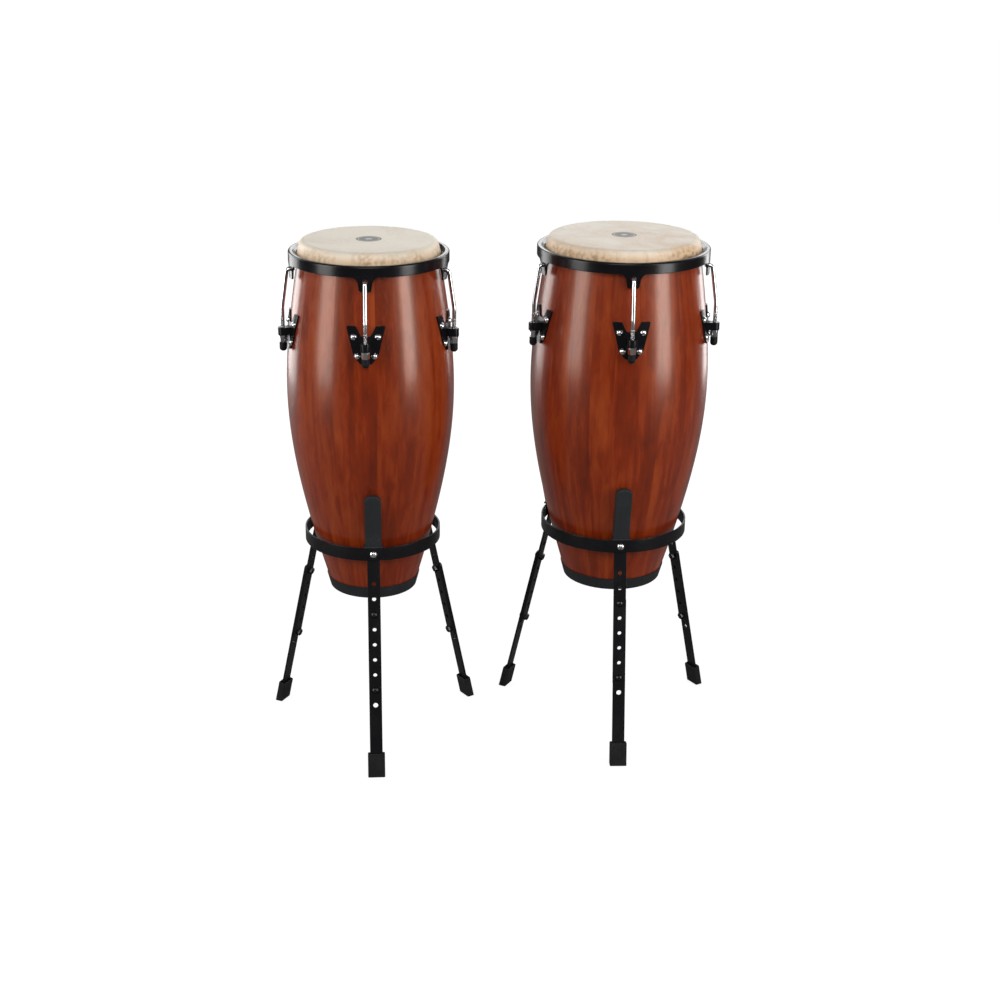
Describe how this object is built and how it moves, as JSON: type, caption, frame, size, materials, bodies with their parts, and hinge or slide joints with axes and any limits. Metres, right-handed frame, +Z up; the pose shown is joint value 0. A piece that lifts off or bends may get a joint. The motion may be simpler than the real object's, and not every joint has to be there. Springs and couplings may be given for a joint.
{
  "type": "conga drum set",
  "caption": "Tall barrel hand drums of staved wood with hide heads and lug tuning, each standing in a height-adjustable three-legged basket stand.",
  "frame": {"origin": "on the floor, under the middle of the box round both drums and stands", "axes": "+Z up, +X from the smaller drum to the larger one, -Y towards the players' side with the middle legs"},
  "size_m": [0.9436, 0.4308, 1.034],
  "materials": {
    "stained_wood": "reddish brown stain under satin lacquer",
    "hide": "natural cream hide",
    "black_rim": "satin black powder coat",
    "black_lug": "satin black powder coat",
    "chrome_hardware": "bright chrome",
    "zinc_hardware": "zinc plated",
    "hoop_steel": "bare steel wire",
    "foot_band_rubber": "dark grey rubber",
    "tip_rubber": "black rubber",
    "stand_black": "satin black powder coat",
    "black_bolt": "blackened steel",
    "sleeve_rubber": "matt dark grey rubber",
    "foot_rubber": "matt black rubber"
  },
  "bodies": {
    "stands": {"quinto_stand_ring": "stand_black", "quinto_uprights": "stand_black", "quinto_finger_sleeves": "sleeve_rubber", "quinto_ring_bolts": "chrome_hardware", "conga_stand_ring": "stand_black", "conga_uprights": "stand_black", "conga_finger_sleeves": "sleeve_rubber", "conga_ring_bolts": "chrome_hardware"},
    "quinto_drum": {"quinto_shell": "stained_wood", "quinto_foot_band": "foot_band_rubber", "quinto_head_skin": "hide", "quinto_lug_plates": "black_lug", "quinto_nut_washers": "chrome_hardware", "quinto_plate_screws": "chrome_hardware", "quinto_backing_nuts": "zinc_hardware"},
    "quinto_rim_group": {"quinto_rim": "black_rim", "quinto_skin_roll": "hide", "quinto_flesh_hoop": "hoop_steel", "quinto_tension_rods": "chrome_hardware", "quinto_rod_tips": "tip_rubber"},
    "quinto_nut_1_body": {"quinto_tuning_nut_1": "chrome_hardware"},
    "quinto_nut_2_body": {"quinto_tuning_nut_2": "chrome_hardware"},
    "quinto_nut_3_body": {"quinto_tuning_nut_3": "chrome_hardware"},
    "quinto_nut_4_body": {"quinto_tuning_nut_4": "chrome_hardware"},
    "quinto_nut_5_body": {"quinto_tuning_nut_5": "chrome_hardware"},
    "quinto_leg_1_body": {"quinto_lower_leg_1": "stand_black", "quinto_foot_1": "foot_rubber", "quinto_leg_bolts_1": "black_bolt"},
    "quinto_leg_2_body": {"quinto_lower_leg_2": "stand_black", "quinto_foot_2": "foot_rubber", "quinto_leg_bolts_2": "black_bolt"},
    "quinto_leg_3_body": {"quinto_lower_leg_3": "stand_black", "quinto_foot_3": "foot_rubber", "quinto_leg_bolts_3": "black_bolt"},
    "conga_drum": {"conga_shell": "stained_wood", "conga_foot_band": "foot_band_rubber", "conga_head_skin": "hide", "conga_lug_plates": "black_lug", "conga_nut_washers": "chrome_hardware", "conga_plate_screws": "chrome_hardware", "conga_backing_nuts": "zinc_hardware"},
    "conga_rim_group": {"conga_rim": "black_rim", "conga_skin_roll": "hide", "conga_flesh_hoop": "hoop_steel", "conga_tension_rods": "chrome_hardware", "conga_rod_tips": "tip_rubber"},
    "conga_nut_1_body": {"conga_tuning_nut_1": "chrome_hardware"},
    "conga_nut_2_body": {"conga_tuning_nut_2": "chrome_hardware"},
    "conga_nut_3_body": {"conga_tuning_nut_3": "chrome_hardware"},
    "conga_nut_4_body": {"conga_tuning_nut_4": "chrome_hardware"},
    "conga_nut_5_body": {"conga_tuning_nut_5": "chrome_hardware"},
    "conga_leg_1_body": {"conga_lower_leg_1": "stand_black", "conga_foot_1": "foot_rubber", "conga_leg_bolts_1": "black_bolt"},
    "conga_leg_2_body": {"conga_lower_leg_2": "stand_black", "conga_foot_2": "foot_rubber", "conga_leg_bolts_2": "black_bolt"},
    "conga_leg_3_body": {"conga_lower_leg_3": "stand_black", "conga_foot_3": "foot_rubber", "conga_leg_bolts_3": "black_bolt"}
  },
  "joints": [
    {"name": "quinto_lift_out", "type": "slide", "parent": "stands", "child": "quinto_drum", "axis": [0, 0, 1], "range_m": [0, 0.3]},
    {"name": "quinto_tuning", "type": "slide", "parent": "quinto_drum", "child": "quinto_rim_group", "axis": [0, 0, -1], "range_m": [0, 0.005]},
    {"name": "quinto_nut_1", "type": "hinge", "parent": "quinto_drum", "child": "quinto_nut_1_body", "pos_m": [-0.28316, -0.13292, 0.851], "axis": [0, 0, 1], "range_deg": [0, 1440]},
    {"name": "quinto_nut_2", "type": "hinge", "parent": "quinto_drum", "child": "quinto_nut_2_body", "pos_m": [-0.10662, -0.03385, 0.851], "axis": [0, 0, 1], "range_deg": [0, 1440]},
    {"name": "quinto_nut_3", "type": "hinge", "parent": "quinto_drum", "child": "quinto_nut_3_body", "pos_m": [-0.14629, 0.16466, 0.851], "axis": [0, 0, 1], "range_deg": [0, 1440]},
    {"name": "quinto_nut_4", "type": "hinge", "parent": "quinto_drum", "child": "quinto_nut_4_body", "pos_m": [-0.34734, 0.18828, 0.851], "axis": [0, 0, 1], "range_deg": [0, 1440]},
    {"name": "quinto_nut_5", "type": "hinge", "parent": "quinto_drum", "child": "quinto_nut_5_body", "pos_m": [-0.43193, 0.00436, 0.851], "axis": [0, 0, 1], "range_deg": [0, 1440]},
    {"name": "quinto_leg_1_length", "type": "slide", "parent": "stands", "child": "quinto_leg_1_body", "axis": [-0.0141, -0.2245, -0.9744], "range_m": [-0.061, 0.122]},
    {"name": "quinto_leg_2_length", "type": "slide", "parent": "stands", "child": "quinto_leg_2_body", "axis": [0.2015, 0.1, -0.9744], "range_m": [-0.061, 0.122]},
    {"name": "quinto_leg_3_length", "type": "slide", "parent": "stands", "child": "quinto_leg_3_body", "axis": [-0.1874, 0.1245, -0.9744], "range_m": [-0.061, 0.122]},
    {"name": "conga_lift_out", "type": "slide", "parent": "stands", "child": "conga_drum", "axis": [0, 0, 1], "range_m": [0, 0.3]},
    {"name": "conga_tuning", "type": "slide", "parent": "conga_drum", "child": "conga_rim_group", "axis": [0, 0, -1], "range_m": [0, 0.005]},
    {"name": "conga_nut_1", "type": "hinge", "parent": "conga_drum", "child": "conga_nut_1_body", "pos_m": [0.21764, -0.14829, 0.851], "axis": [0, 0, 1], "range_deg": [0, 1440]},
    {"name": "conga_nut_2", "type": "hinge", "parent": "conga_drum", "child": "conga_nut_2_body", "pos_m": [0.40687, -0.03594, 0.851], "axis": [0, 0, 1], "range_deg": [0, 1440]},
    {"name": "conga_nut_3", "type": "hinge", "parent": "conga_drum", "child": "conga_nut_3_body", "pos_m": [0.35848, 0.17874, 0.851], "axis": [0, 0, 1], "range_deg": [0, 1440]},
    {"name": "conga_nut_4", "type": "hinge", "parent": "conga_drum", "child": "conga_nut_4_body", "pos_m": [0.13936, 0.19907, 0.851], "axis": [0, 0, 1], "range_deg": [0, 1440]},
    {"name": "conga_nut_5", "type": "hinge", "parent": "conga_drum", "child": "conga_nut_5_body", "pos_m": [0.05231, -0.00305, 0.851], "axis": [0, 0, 1], "range_deg": [0, 1440]},
    {"name": "conga_leg_1_length", "type": "slide", "parent": "stands", "child": "conga_leg_1_body", "axis": [-0.022, -0.2239, -0.9744], "range_m": [-0.061, 0.122]},
    {"name": "conga_leg_2_length", "type": "slide", "parent": "stands", "child": "conga_leg_2_body", "axis": [0.2049, 0.0929, -0.9744], "range_m": [-0.061, 0.122]},
    {"name": "conga_leg_3_length", "type": "slide", "parent": "stands", "child": "conga_leg_3_body", "axis": [-0.1829, 0.1309, -0.9744], "range_m": [-0.061, 0.122]}
  ],
  "couplings": [
    {"joint": "quinto_nut_1", "follows": "quinto_tuning", "rad_per_m": 5026.5},
    {"joint": "quinto_nut_2", "follows": "quinto_tuning", "rad_per_m": 5026.5},
    {"joint": "quinto_nut_3", "follows": "quinto_tuning", "rad_per_m": 5026.5},
    {"joint": "quinto_nut_4", "follows": "quinto_tuning", "rad_per_m": 5026.5},
    {"joint": "quinto_nut_5", "follows": "quinto_tuning", "rad_per_m": 5026.5},
    {"joint": "conga_nut_1", "follows": "conga_tuning", "rad_per_m": 5026.5},
    {"joint": "conga_nut_2", "follows": "conga_tuning", "rad_per_m": 5026.5},
    {"joint": "conga_nut_3", "follows": "conga_tuning", "rad_per_m": 5026.5},
    {"joint": "conga_nut_4", "follows": "conga_tuning", "rad_per_m": 5026.5},
    {"joint": "conga_nut_5", "follows": "conga_tuning", "rad_per_m": 5026.5}
  ]
}
